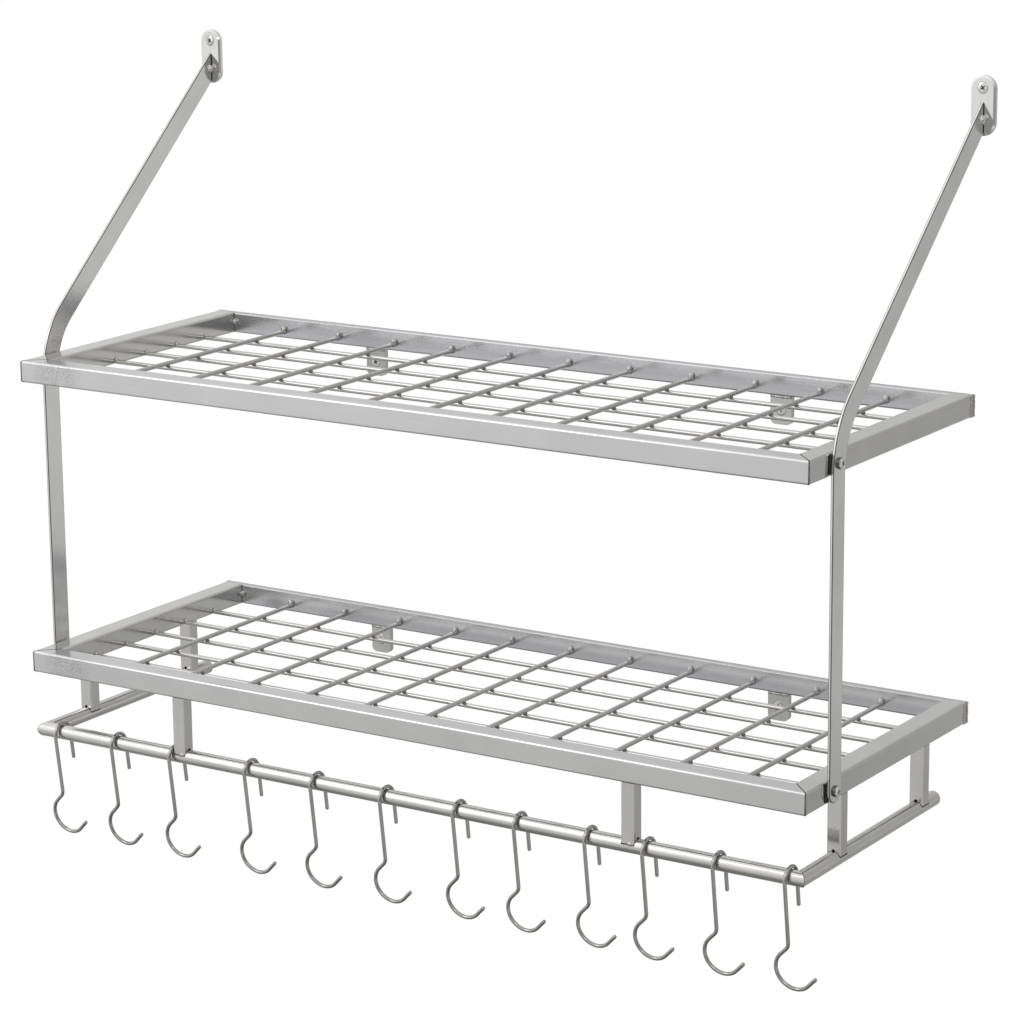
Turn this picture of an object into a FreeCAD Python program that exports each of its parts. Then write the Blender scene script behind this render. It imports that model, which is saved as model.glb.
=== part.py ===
import FreeCAD, Part
import math
import operator
import os

import Sketcher
from FreeCAD import Rotation, Vector

# Wall-mounted pot rack in stainless steel: two wire shelves in tube frames, held up by two flat
# straps that bend back to the wall, over a round hook rail with wire hooks that swing on it.
# Frame: +X along the wall, +Y towards the wall, +Z up; the wall is the plane y = 0, and the
# origin is midway between the screw holes of the two lower wall tabs.

# Driving dimensions: name, size in millimetres or degrees, and what it measures
SIZES = [
    ("width", 762, "both shelves, along the wall"),
    ("depth", 282, "shelf front face to rear face of the rear rail"),
    ("standoff", 2, "rear rail to the wall"),
    ("shelf_gap", 258, "top of the lower shelf to top of the upper shelf"),
    ("rail", 19, "square tube of the front and side rails"),
    ("rear_rail", 6, "rear rail, front to back"),
    ("rail_wall", 1.2, "wall of the rails"),
    ("rail_round", 2, "outer corner radius of the rails"),
    ("wire", 3.9, "diameter of the shelf wires"),
    ("cross_drop", 12.9, "cross wires' axis below the rail tops"),
    ("cross_wires", 11, "number of wires from front to back"),
    ("cross_end", 57, "side rail to the nearest cross wire's axis"),
    ("long_wires", 5, "number of wires from side to side"),
    ("weld_gap", 0.05, "root gap of the welded round joints"),
    ("tab_width", 20, "wall tab, along the wall"),
    ("tab_drop", 25, "wall tab below the rail"),
    ("tab_thick", 5, "wall tab, front to back"),
    ("tab_round", 5, "lower corners of a wall tab"),
    ("tab_spread", 206, "wall tab from the middle of the rack"),
    ("tab_hole_drop", 12.5, "wall tab's hole below the rail"),
    ("wall_hole", 5.5, "diameter of the wall screw holes"),
    ("wall_sink", 2, "countersink of the wall screw holes"),
    ("strap", 19, "width of the flat straps"),
    ("strap_thick", 2.5, "thickness of the straps"),
    ("strap_front", 41.5, "strap's middle behind the shelf front"),
    ("strap_lean", 41.5, "strap's upper run, above level"),
    ("strap_bend", 68, "radius of the strap's edgewise bend, at its middle"),
    ("strap_rise", 12.4, "corner of the bend above the upper shelf"),
    ("pad_thick", 1.2, "black pads between the straps and the side rails"),
    ("pad_margin", 0.3, "pad past each edge of the strap"),
    ("plate_width", 21.5, "wall plate, along the wall"),
    ("plate_height", 48, "wall plate, top to bottom"),
    ("plate_thick", 4.5, "wall plate, front to back"),
    ("plate_bevel", 1.5, "bevel round the wall plate's face"),
    ("plate_lift", 9.5, "wall plate's middle above the end of the strap's middle line"),
    ("plate_hole_drop", 9.6, "wall plate's hole below its top"),
    ("screw_shank", 4.8, "diameter of the strap screws"),
    ("screw_play", 0.2, "gap round a strap screw in its holes"),
    ("screw_end", 1.3, "strap screw's end past its nut"),
    ("screw_head", 9, "diameter of the strap screws' heads"),
    ("screw_rim", 1.2, "straight side of a strap screw's head"),
    ("screw_dome", 1.8, "height of the dome on a strap screw's head"),
    ("nut_flats", 8, "strap nuts across their flats"),
    ("nut_height", 4, "height of the strap nuts"),
    ("nut_play", 0.1, "gap round a strap screw in its nut"),
    ("tube", 12.7, "diameter of the round hook rail"),
    ("tube_wall", 1, "wall of the hook rail and its posts"),
    ("tube_drop", 72, "hook rail's axis below the lower shelf's top"),
    ("tube_inset", 7, "hook rail's axis inside the shelf's outline"),
    ("tube_back", 48.5, "rear ends of the hook rail to the wall"),
    ("post", 12, "square posts that carry the hook rail"),
    ("post_round", 1, "outer corner radius of the posts"),
    ("front_post", 158, "front posts from the ends of the rack"),
    ("near_post", 66.1, "first side posts behind the shelf front"),
    ("far_post", 26.3, "second side posts in front of the hook rail's rear ends"),
    ("vent", 3, "diameter of the vent at a post's foot"),
    ("vent_rise", 0.2, "vent's middle above the hook rail"),
    ("hook_wire", 3.2, "diameter of the hooks' wire"),
    ("hook_play", 0.3, "gap between a hook's crown and the hook rail"),
    ("hook_slack", 2, "gap between a hook's legs and the hook rail"),
    ("hook_clear", 0.9, "least gap between a hook and the nearest post or side tube"),
    ("hook_tail", 29, "end of a hook's short leg below the hook rail's axis"),
    ("hook_leg", 52, "end of a hook's straight leg below the hook rail's axis"),
    ("hook_elbow", 8, "radius of the elbow under the leg"),
    ("hook_kink", 45, "turn of the elbow"),
    ("hook_jog", 7, "straight run from the elbow to the bowl"),
    ("hook_bowl", 16.5, "radius of the bowl"),
    ("hook_lip", 15, "radius of the bowl's open side"),
    ("hook_flare", 46, "turn of the bowl's open side"),
    ("hook_tip", 11, "straight tip"),
    ("hook_end_round", 1.2, "rounding of the wire's ends"),
]
# Places of the hooks along the rail: the bay between two posts or a post and a side tube, the end
# of the bay that the place is measured from, and the share of the bay's clear length
HOOKS = [
    ("left", "start", 0.059), ("left", "end", 0.473), ("left", "end", 0),
    ("middle", "start", 0.148), ("middle", "start", 0.308), ("middle", "start", 0.472),
    ("middle", "end", 0.36), ("middle", "end", 0.223), ("middle", "end", 0.068),
    ("right", "start", 0.052), ("right", "end", 0.473), ("right", "end", 0),
]

doc = FreeCAD.newDocument("pot_rack")
sheet = doc.addObject("Spreadsheet::Sheet", "Sizes")
hook_rows = [(f"hook_share_{number}", share, f"hook's place from the {end} of the {bay} bay")
             for number, (bay, end, share) in enumerate(HOOKS, start=1)]
for row, (name, number, note) in enumerate(SIZES + hook_rows, start=1):
    sheet.set(f"A{row}", note)
    sheet.set(f"B{row}", str(number))
    sheet.setAlias(f"B{row}", name)
doc.recompute()


class Size:
    """A size worked out from the sheet: its number, and the formula that ties a feature to it."""

    def __init__(self, number, formula):
        self.number = float(number)
        self.formula = formula

    def __add__(self, other):
        return joined(self, "+", other)

    def __sub__(self, other):
        return joined(self, "-", other)

    def __mul__(self, other):
        return joined(self, "*", other)

    def __truediv__(self, other):
        return joined(self, "/", other)

    def __neg__(self):
        return joined(-1, "*", self)


SIGNS = {"+": operator.add, "-": operator.sub, "*": operator.mul, "/": operator.truediv}


def as_size(value):
    return value if isinstance(value, Size) else Size(value, str(value))


def joined(left, sign, right):
    left, right = as_size(left), as_size(right)
    return Size(SIGNS[sign](left.number, right.number), f"({left.formula} {sign} {right.formula})")


def tangent(angle):
    return Size(math.tan(math.radians(angle.number)), f"tan({angle.formula})")


def cosine(angle):
    return Size(math.cos(math.radians(angle.number)), f"cos({angle.formula})")


def cell(name):
    return Size(sheet.get(name), f"Sizes.{name}")


def tie(thing, prop, value):
    """Keeps a property tied to a size of the sheet."""
    thing.setExpression(prop, as_size(value).formula)


# Sizes that several pieces share
rail = cell("rail")
wall = cell("rail_wall")
half_width = cell("width") / 2
front = -(cell("depth") + cell("standoff"))
low_top = rail + cell("tab_hole_drop")
tube_radius = cell("tube") / 2
axis_z = low_top - cell("tube_drop")
axis_y = front + cell("tube_inset")
axis_x = half_width - cell("tube_inset")
inner_depth = cell("depth") - rail - cell("rear_rail")
strap_y = front + cell("strap_front")
strap_hole = cell("screw_shank") / 2 + cell("screw_play")
strap_x = half_width + cell("pad_thick")
front_post_x = half_width - cell("front_post")
tube_end = -cell("tube_back")
nodes = []


def node(kind, label):
    """A sub-part of the rack: it is written out under its label."""
    piece = doc.addObject(kind, label)
    piece.Label = label
    nodes.append(piece)
    return piece


def place(piece, x=0, y=0, z=0):
    for axis, value in (("x", x), ("y", y), ("z", z)):
        tie(piece, f"Placement.Base.{axis}", value)


def group(label, pieces):
    """Several alike pieces kept as one sub-part."""
    compound = node("Part::Compound", label)
    compound.Links = pieces


# Sketches
def origin_feature(body, role):
    return next(feature for feature in body.Origin.OriginFeatures if feature.Role == role)


def sketch_on(body, role, name, offset=None):
    sketch = body.newObject("Sketcher::SketchObject", name)
    sketch.AttachmentSupport = [(origin_feature(body, role), "")]
    sketch.MapMode = "FlatFace"
    if offset is not None:
        tie(sketch, "AttachmentOffset.Base.z", offset)
    return sketch


def dimension(sketch, kind, where, value):
    """A driving dimension of a sketch, tied to the sheet."""
    value = as_size(value)
    number = math.radians(value.number) if kind == "Angle" else value.number
    index = sketch.addConstraint(Sketcher.Constraint(kind, *where, number))
    sketch.setExpression(f"Constraints[{index}]", value.formula)


def pin(sketch, line, end, point):
    dimension(sketch, "DistanceX", (line, end), point[0])
    dimension(sketch, "DistanceY", (line, end), point[1])


def vector(point):
    return Vector(as_size(point[0]).number, as_size(point[1]).number, 0)


def outline(sketch, points):
    """A closed outline of straight lines."""
    lines = []
    for start, end in zip(points, points[1:] + points[:1]):
        lines.append(sketch.addGeometry(Part.LineSegment(vector(start), vector(end))))
    for line, following in zip(lines, lines[1:] + lines[:1]):
        sketch.addConstraint(Sketcher.Constraint("Coincident", line, 2, following, 1))
    for line, point in zip(lines, points):
        pin(sketch, line, 1, point)


def rectangle(sketch, low, high):
    outline(sketch, [low, (high[0], low[1]), high, (low[0], high[1])])


def circle(sketch, centre, radius):
    ring = sketch.addGeometry(Part.Circle(vector(centre), Vector(0, 0, 1), radius.number))
    pin(sketch, ring, 3, centre)
    dimension(sketch, "Radius", (ring,), radius)


def bent_path(sketch, start, heading, steps):
    """Centre line of a bent rod. A step is a straight length, or a radius and a turn; a positive
    turn goes anticlockwise. The first step is straight and upright."""
    at = vector(start)
    heading = math.radians(heading)
    ends = []
    for step in steps:
        if isinstance(step, Size):
            to = at + Vector(math.cos(heading), math.sin(heading), 0) * step.number
            geometry = sketch.addGeometry(Part.LineSegment(at, to))
            dimension(sketch, "Distance", (geometry,), step)
            ends.append((geometry, 1, 2))
        else:
            radius, turn, side = step
            normal = Vector(-math.sin(heading), math.cos(heading), 0) * side
            middle = at + normal * radius.number
            first = math.atan2(at.y - middle.y, at.x - middle.x)
            last = first + side * math.radians(turn.number)
            bend = Part.Circle(middle, Vector(0, 0, 1), radius.number)
            geometry = sketch.addGeometry(Part.ArcOfCircle(bend, min(first, last), max(first, last)))
            dimension(sketch, "Radius", (geometry,), radius)
            dimension(sketch, "Angle", (geometry,), turn)
            ends.append((geometry, 1, 2) if side > 0 else (geometry, 2, 1))
            to = middle + Vector(math.cos(last), math.sin(last), 0) * radius.number
            heading += side * math.radians(turn.number)
        at = to
    pin(sketch, ends[0][0], 1, start)
    sketch.addConstraint(Sketcher.Constraint("Vertical", ends[0][0]))
    for (geometry, _, end), (following, begin, _) in zip(ends, ends[1:]):
        sketch.addConstraint(Sketcher.Constraint("Tangent", geometry, end, following, begin))


# Features
def pad(body, sketch, length, side="One side", back=False):
    feature = body.newObject("PartDesign::Pad", "pad")
    feature.Profile = sketch
    feature.SideType = side
    feature.Reversed = back
    tie(feature, "Length", length)
    return feature


def cut(body, sketch, length=None, side="One side", back=False):
    """A pocket to a depth, or through everything where none is given. It has to take metal away."""
    doc.recompute()
    before = body.Shape.Volume
    feature = body.newObject("PartDesign::Pocket", "pocket")
    feature.Profile = sketch
    feature.SideType = side
    feature.Reversed = back
    if length is None:
        feature.Type = "ThroughAll"
    else:
        tie(feature, "Length", length)
    doc.recompute()
    if body.Shape.Volume > before - 0.01:
        raise ValueError(f"{body.Label}: {sketch.Label} cuts nothing")
    return feature


def edge_names(shape, wanted):
    return [f"Edge{i}" for i, edge in enumerate(shape.Edges, start=1) if wanted(edge)]


def soften(body, kind, prop, value, wanted):
    """A fillet or chamfer on the edges of the body that are wanted."""
    doc.recompute()
    base = body.Tip
    names = edge_names(base.Shape, wanted)
    feature = body.newObject(kind, "softened")
    feature.Base = (base, names)
    tie(feature, prop, value)
    return feature


def fillet(body, radius, wanted):
    return soften(body, "PartDesign::Fillet", "Radius", radius, wanted)


def chamfer(body, size, wanted):
    return soften(body, "PartDesign::Chamfer", "Size", size, wanted)


def box_edges(axis, low, high):
    """Tests for the four long outer edges of a bar along the axis, from its section's corners."""
    across = [name for name in "xyz" if name != axis]
    corners = [(low[0], low[1]), (low[0], high[1]), (high[0], low[1]), (high[0], high[1])]
    numbers = [(as_size(a).number, as_size(b).number) for a, b in corners]

    def wanted(edge):
        spots = [[getattr(vertex.Point, name) for name in across] for vertex in edge.Vertexes]
        return len(spots) == 2 and any(
            all(math.dist(spot, corner) < 1e-4 for spot in spots) for corner in numbers)
    return wanted


def face_edges(face, radius=None):
    """Tests for the edges of the front face of a plate, at y = -face; a radius picks round ones."""
    def wanted(edge):
        box = edge.BoundBox
        if max(abs(box.YMin + face.number), abs(box.YMax + face.number)) > 1e-4:
            return False
        return radius is None or abs(getattr(edge.Curve, "Radius", 0) - radius.number) < 1e-4
    return wanted


# Shelf rails: square tubes, the front and side rails mitred together at the front corners
def front_rail(label, top):
    body = node("PartDesign::Body", label)
    section = sketch_on(body, "YZ_Plane", "section")
    rectangle(section, (0, -rail), (rail, 0))
    rectangle(section, (wall, wall - rail), (rail - wall, -wall))
    pad(body, section, cell("width"), "Symmetric")
    mitre = sketch_on(body, "XY_Plane", "mitre")
    for side in (-1, 1):
        outer, inner = half_width * side, (half_width - rail) * side
        outline(mitre, [(outer, 0), (outer, rail), (inner, rail)])
    cut(body, mitre)
    fillet(body, cell("rail_round"), box_edges("x", (0, -rail), (rail, 0)))
    place(body, y=front, z=top)


def side_rail(label, side, top):
    """The outer face is at x = 0; its screw hole takes the strap's screw."""
    body = node("PartDesign::Body", label)
    inner = rail * -side
    low, high = sorted((Size(0, "0"), inner), key=lambda value: value.number)
    section = sketch_on(body, "XZ_Plane", "section")
    rectangle(section, (low, -rail), (high, 0))
    rectangle(section, (low + wall, wall - rail), (high - wall, -wall))
    pad(body, section, cell("depth") - cell("rear_rail"), back=True)
    mitre = sketch_on(body, "XY_Plane", "mitre")
    outline(mitre, [(0, 0), (inner, 0), (inner, rail)])
    cut(body, mitre)
    hole = sketch_on(body, "YZ_Plane", "strap_hole")
    circle(hole, (cell("strap_front"), -rail / 2), strap_hole)
    cut(body, hole, wall * 2, back=side < 0)
    fillet(body, cell("rail_round"), box_edges("y", (low, -rail), (high, 0)))
    place(body, x=half_width * side, y=front, z=top)


def rear_section(body, length, hollow):
    """The rear rail's section, along the wall from its middle."""
    section = sketch_on(body, "YZ_Plane", "section")
    deep = cell("rear_rail")
    rectangle(section, (-deep, -rail), (0, 0))
    if hollow:
        rectangle(section, (wall - deep, wall - rail), (-wall, -wall))
    pad(body, section, length, "Symmetric")
    fillet(body, cell("rail_round"), box_edges("x", (-deep, -rail), (0, 0)))


def rear_rail(label, top):
    body = node("PartDesign::Body", label)
    rear_section(body, cell("width") - wall * 2, True)
    place(body, y=-cell("standoff"), z=top)


def rear_rail_caps():
    """Plates that close the ends of both rear rails."""
    caps = []
    for top in (low_top, low_top + cell("shelf_gap")):
        for side in (-1, 1):
            body = doc.addObject("PartDesign::Body", "rear_rail_cap")
            rear_section(body, wall, False)
            place(body, x=(half_width - wall / 2) * side, y=-cell("standoff"), z=top)
            caps.append(body)
    group("rear_rail_caps", caps)


# Shelf wires: a layer from side to side under a layer from front to back, welded to the rails
def wire_layer(label, role, axis_role, middle, length, along, count, pitch, back):
    body = node("PartDesign::Body", label)
    section = sketch_on(body, role, "section")
    circle(section, middle, cell("wire") / 2)
    first = pad(body, section, length, along, back)
    doc.recompute()
    pattern = body.newObject("PartDesign::LinearPattern", "row")
    pattern.Originals = [first]
    pattern.Direction = (origin_feature(body, axis_role), [""])
    tie(pattern, "Length", pitch * (count - 1))
    tie(pattern, "Occurrences", count)
    body.Tip = pattern
    return body


def shelf_wires(prefix, top):
    count = cell("cross_wires")
    start = cell("cross_end") - half_width + rail
    pitch = start * -2 / (count - 1)
    body = wire_layer(f"{prefix}_cross_wires", "XZ_Plane", "X_Axis", (start, -cell("cross_drop")),
                      inner_depth, "One side", count, pitch, True)
    place(body, y=front + rail, z=top)
    count = cell("long_wires")
    pitch = inner_depth / (count + 1)
    drop = cell("cross_drop") + cell("wire") + cell("weld_gap")
    body = wire_layer(f"{prefix}_long_wires", "YZ_Plane", "Y_Axis", (pitch, -drop),
                      cell("width") - rail * 2, "Symmetric", count, pitch, False)
    place(body, y=front + rail, z=top)


# Wall tabs: plates under the rear rails, each with a countersunk screw hole
def screw_hole(body, centre, face):
    """A countersunk hole from the front face, along y."""
    hole = sketch_on(body, "XZ_Plane", "wall_hole")
    radius = cell("wall_hole") / 2
    circle(hole, centre, radius)
    cut(body, hole, back=True)
    chamfer(body, cell("wall_sink"), face_edges(face, radius))


def wall_tab(label, side, top):
    body = node("PartDesign::Body", label)
    half = cell("tab_width") / 2
    drop = cell("tab_drop")
    face = cell("tab_thick")
    plate = sketch_on(body, "XZ_Plane", "outline")
    rectangle(plate, (-half, -drop), (half, 0))
    pad(body, plate, face)
    corners = box_edges("y", (-half, -drop), (half, -drop))
    fillet(body, cell("tab_round"), corners)
    screw_hole(body, (0, -cell("tab_hole_drop")), face)
    place(body, x=cell("tab_spread") * side, z=top - rail)


# Straps: flat bars screwed to the side rails, bent edgewise and cut to meet the wall plates
strap_run = -cell("plate_thick") - strap_y
strap_low = low_top - rail / 2
strap_corner = low_top + cell("shelf_gap") + cell("strap_rise")


def strap(label, side):
    body = node("PartDesign::Body", label)
    half = cell("strap") / 2
    thick = cell("strap_thick") * side
    bend = Size(90, "90") - cell("strap_lean")
    radius = cell("strap_bend")
    setback = radius * tangent(bend / 2)
    upright = strap_corner - strap_low - setback
    slope = (strap_run + half) / cosine(cell("strap_lean")) - setback
    path = sketch_on(body, "YZ_Plane", "path")
    bent_path(path, (0, 0), 90, [upright, (radius, bend, -1), slope])
    section = sketch_on(body, "XY_Plane", "section")
    low, high = sorted((Size(0, "0"), thick), key=lambda value: value.number)
    rectangle(section, (low, -half), (high, half))
    bar = body.newObject("PartDesign::AdditivePipe", "bar")
    bar.Profile = section
    bar.Spine = (path, [])
    foot = sketch_on(body, "YZ_Plane", "foot")
    circle(foot, (0, 0), half)
    pad(body, foot, cell("strap_thick"), back=side < 0)
    end = sketch_on(body, "YZ_Plane", "end")
    height = upright + setback + slope
    rectangle(end, (strap_run, upright), (strap_run + cell("strap") * 2, height))
    cut(body, end, side="Symmetric")
    holes = sketch_on(body, "YZ_Plane", "holes")
    for level in (0, cell("shelf_gap")):
        circle(holes, (0, level), strap_hole)
    cut(body, holes, side="Symmetric")
    place(body, x=strap_x * side, y=strap_y, z=strap_low)


def strap_pads():
    """Black pads on the flat of the side rails' outer faces, behind the straps."""
    pads = []
    half = cell("strap") / 2 + cell("pad_margin")
    flat = rail / 2 - cell("rail_round")
    for side in (-1, 1):
        for level in (strap_low, strap_low + cell("shelf_gap")):
            body = doc.addObject("PartDesign::Body", "strap_pad")
            face = sketch_on(body, "YZ_Plane", "outline")
            rectangle(face, (-half, -flat), (half, flat))
            circle(face, (0, 0), strap_hole)
            pad(body, face, cell("pad_thick"), back=side < 0)
            place(body, x=half_width * side, y=strap_y, z=level)
            pads.append(body)
    group("strap_pads", pads)


def wall_plate(label, side):
    """A plate with round ends; its screw hole is above the strap."""
    body = node("PartDesign::Body", label)
    radius = cell("plate_width") / 2
    length = cell("plate_height") - radius * 2
    face = cell("plate_thick")
    plate = sketch_on(body, "XZ_Plane", "outline")
    rectangle(plate, (-radius, -length), (radius, 0))
    pad(body, plate, face)
    for level in (0, -length):
        end = sketch_on(body, "XZ_Plane", "round_end")
        circle(end, (0, level), radius)
        pad(body, end, face)
    chamfer(body, cell("plate_bevel"), face_edges(face))
    screw_hole(body, (0, radius - cell("plate_hole_drop")), face)
    middle = strap_corner + strap_run * tangent(cell("strap_lean")) + cell("plate_lift")
    place(body, x=(strap_x + cell("strap_thick") / 2) * side, z=middle + length / 2)


# Strap screws, and the nuts inside the rails that they turn into
def strap_screw():
    """The head's underside is at x = 0, and the shank points to -x."""
    body = doc.addObject("PartDesign::Body", "strap_screw")
    shank, head = cell("screw_shank") / 2, cell("screw_head") / 2
    tip = -(cell("strap_thick") + cell("pad_thick") + wall + cell("nut_height") + cell("screw_end"))
    rim = cell("screw_rim")
    dome = rim + cell("screw_dome")
    profile = sketch_on(body, "XY_Plane", "profile")
    outline(profile, [(tip, 0), (tip, shank), (0, shank), (0, head), (rim, head),
                      (dome, head / 2), (dome, 0)])
    turned = body.newObject("PartDesign::Revolution", "turned")
    turned.Profile = profile
    turned.ReferenceAxis = (profile, ["H_Axis"])
    turned.Angle = 360
    return body


def strap_nut():
    prism = doc.addObject("Part::Prism", "nut_blank")
    prism.Polygon = 6
    tie(prism, "Circumradius", cell("nut_flats") / Size(math.sqrt(3), "sqrt(3)"))
    tie(prism, "Height", cell("nut_height"))
    bore = doc.addObject("Part::Cylinder", "nut_bore")
    tie(bore, "Radius", cell("screw_shank") / 2 + cell("nut_play"))
    tie(bore, "Height", cell("nut_height"))
    nut = doc.addObject("Part::Cut", "strap_nut")
    nut.Base = prism
    nut.Tool = bore
    return nut


def strap_fasteners():
    screws = []
    nuts = []
    for side in (-1, 1):
        for level in (strap_low, strap_low + cell("shelf_gap")):
            screw = strap_screw()
            screw.Placement.Rotation = Rotation(Vector(0, 0, 1), 0 if side > 0 else 180)
            place(screw, x=(strap_x + cell("strap_thick")) * side, y=strap_y, z=level)
            screws.append(screw)
            nut = strap_nut()
            nut.Placement.Rotation = Rotation(Vector(0, 1, 0), -90 * side)
            place(nut, x=(half_width - wall) * side, y=strap_y, z=level)
            nuts.append(nut)
    group("strap_screws", screws)
    group("strap_nuts", nuts)


# Hook rail: three round tubes, mitred at the front corners and closed at the rear ends
def ring(body, role):
    section = sketch_on(body, role, "section")
    circle(section, (0, 0), tube_radius)
    circle(section, (0, 0), tube_radius - cell("tube_wall"))
    return section


def hook_rail_front():
    body = node("PartDesign::Body", "hook_rail_front")
    pad(body, ring(body, "YZ_Plane"), (axis_x + tube_radius) * 2, "Symmetric")
    mitre = sketch_on(body, "XY_Plane", "mitre", tube_radius)
    spare = cell("tube")
    for side in (-1, 1):
        outer, inner = (axis_x + spare) * side, (axis_x - spare) * side
        outline(mitre, [(outer, -spare), (outer, spare), (inner, spare)])
    cut(body, mitre)
    place(body, y=axis_y, z=axis_z)


def hook_rail_side(label, side):
    body = node("PartDesign::Body", label)
    section = ring(body, "XZ_Plane")
    tube = pad(body, section, tube_end - axis_y - cell("tube_wall"), "Two sides", back=True)
    tie(tube, "Length2", tube_radius)
    mitre = sketch_on(body, "XY_Plane", "mitre", tube_radius)
    spare = cell("tube")
    outline(mitre, [(-spare * side, spare), (-spare * side, -spare), (spare * side, -spare)])
    cut(body, mitre)
    place(body, x=axis_x * side, y=axis_y, z=axis_z)


def hook_rail_discs():
    """Discs that close the rear ends of the hook rail."""
    discs = []
    for side in (-1, 1):
        disc = doc.addObject("Part::Cylinder", "hook_rail_disc")
        tie(disc, "Radius", tube_radius)
        tie(disc, "Height", cell("tube_wall"))
        disc.Placement.Rotation = Rotation(Vector(1, 0, 0), 90)
        place(disc, x=axis_x * side, y=tube_end, z=axis_z)
        discs.append(disc)
    group("hook_rail_discs", discs)


# Posts: square tubes under the lower shelf, coped over the hook rail, with a vent in the cope
def post(label, x, y, cope_role):
    body = node("PartDesign::Body", label)
    half = cell("post") / 2
    inside = half - cell("tube_wall")
    section = sketch_on(body, "XY_Plane", "section")
    rectangle(section, (-half, -half), (half, half))
    rectangle(section, (-inside, -inside), (inside, inside))
    pad(body, section, cell("tube_drop") - rail)
    fillet(body, cell("post_round"), box_edges("z", (-half, -half), (half, half)))
    cope = sketch_on(body, cope_role, "cope")
    circle(cope, (0, 0), tube_radius + cell("weld_gap"))
    cut(body, cope, side="Symmetric")
    vent = sketch_on(body, cope_role, "vent")
    circle(vent, (0, tube_radius + cell("vent_rise")), cell("vent") / 2)
    cut(body, vent, side="Symmetric")
    place(body, x=x, y=y, z=axis_z)


def posts():
    for name, side in (("left", -1), ("right", 1)):
        post(f"front_{name}_post", front_post_x * side, axis_y, "YZ_Plane")
        post(f"{name}_near_post", axis_x * side, front + cell("near_post"), "XZ_Plane")
        post(f"{name}_far_post", axis_x * side, tube_end - cell("far_post"), "XZ_Plane")


# Hooks: one wire each, looped over the hook rail, with a bowl that is turned along the rail
def hook(number):
    """The origin is on the hook rail's axis. The long leg is in front and the short one behind."""
    body = node("PartDesign::Body", f"hook_{number:02d}")
    wire = cell("hook_wire") / 2
    loop = tube_radius + cell("hook_slack") + wire
    spring = cell("hook_play") - cell("hook_slack")
    seam = -cell("hook_leg") / 2
    section = sketch_on(body, "XY_Plane", "section", seam)
    circle(section, (0, -loop), wire)
    over = sketch_on(body, "YZ_Plane", "over_the_rail")
    bent_path(over, (-loop, seam), 90,
              [spring - seam, (loop, Size(180, "180"), -1), spring + cell("hook_tail")])
    under = sketch_on(body, "XZ_Plane", "bowl", loop)
    bent_path(under, (0, seam), -90,
              [cell("hook_leg") / 2,
               (cell("hook_elbow"), cell("hook_kink"), -1),
               cell("hook_jog"),
               (cell("hook_bowl"), Size(90, "90") + cell("hook_kink"), 1),
               (cell("hook_lip"), cell("hook_flare"), 1),
               cell("hook_tip")])
    for path in (over, under):
        bend = body.newObject("PartDesign::AdditivePipe", "bent_wire")
        bend.Profile = section
        bend.Spine = (path, [])
    doc.recompute()
    ends = [edge for face in body.Tip.Shape.Faces if isinstance(face.Surface, Part.Plane)
            for edge in face.Edges]
    fillet(body, cell("hook_end_round"), lambda edge: any(edge.isSame(end) for end in ends))
    return body


def hook_place(number, bay, end):
    """Along the rail, clear of the posts and the side tubes."""
    clear = cell("hook_wire") / 2 + cell("hook_clear")
    outer = axis_x - tube_radius - clear
    post_face = front_post_x + cell("post") / 2 + clear
    inner = front_post_x - cell("post") / 2 - clear
    start, stop = {"left": (-outer, -post_face), "middle": (-inner, inner),
                   "right": (post_face, outer)}[bay]
    step = (stop - start) * cell(f"hook_share_{number}")
    return start + step if end == "start" else stop - step


def hooks():
    """Each hook hangs as its weight lets it: its centre of mass is under the rail's axis."""
    bodies = [hook(number) for number in range(1, len(HOOKS) + 1)]
    doc.recompute()
    middle = bodies[0].Shape.CenterOfGravity
    swing = math.degrees(math.atan2(-middle.y, -middle.z))
    for number, (body, (bay, end, _)) in enumerate(zip(bodies, HOOKS), start=1):
        body.Placement.Rotation = Rotation(Vector(1, 0, 0), swing)
        place(body, x=hook_place(number, bay, end), y=axis_y, z=axis_z)
    print(f"hooks hang {swing:.2f} degrees out of upright")


for level_name, level_top in (("upper", low_top + cell("shelf_gap")), ("lower", low_top)):
    front_rail(f"{level_name}_front_rail", level_top)
    rear_rail(f"{level_name}_rear_rail", level_top)
    shelf_wires(level_name, level_top)
    for side_name, direction in (("left", -1), ("right", 1)):
        side_rail(f"{level_name}_{side_name}_rail", direction, level_top)
        wall_tab(f"{level_name}_{side_name}_tab", direction, level_top)
for side_name, direction in (("left", -1), ("right", 1)):
    strap(f"{side_name}_strap", direction)
    wall_plate(f"{side_name}_wall_plate", direction)
    hook_rail_side(f"hook_rail_{side_name}", direction)
rear_rail_caps()
strap_pads()
strap_fasteners()
hook_rail_front()
hook_rail_discs()
posts()
hooks()
doc.recompute()

# Every object has to be sound before anything is written
for thing in doc.Objects:
    if "Invalid" in thing.State or "Error" in thing.State:
        raise ValueError(f"{thing.Label}: {thing.State}")
for piece in nodes:
    if piece.Shape.isNull() or not piece.Shape.isValid() or not piece.Shape.Solids:
        raise ValueError(f"{piece.Label}: no sound solid")
os.makedirs("parts", exist_ok=True)
for piece in nodes:
    piece.Shape.exportStep(f"parts/{piece.Label}.step")
    print(piece.Label, len(piece.Shape.Solids), "solids", round(piece.Shape.Volume), "mm3")
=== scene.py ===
import math

import bmesh
import bpy
from mathutils import Matrix, Vector


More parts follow.
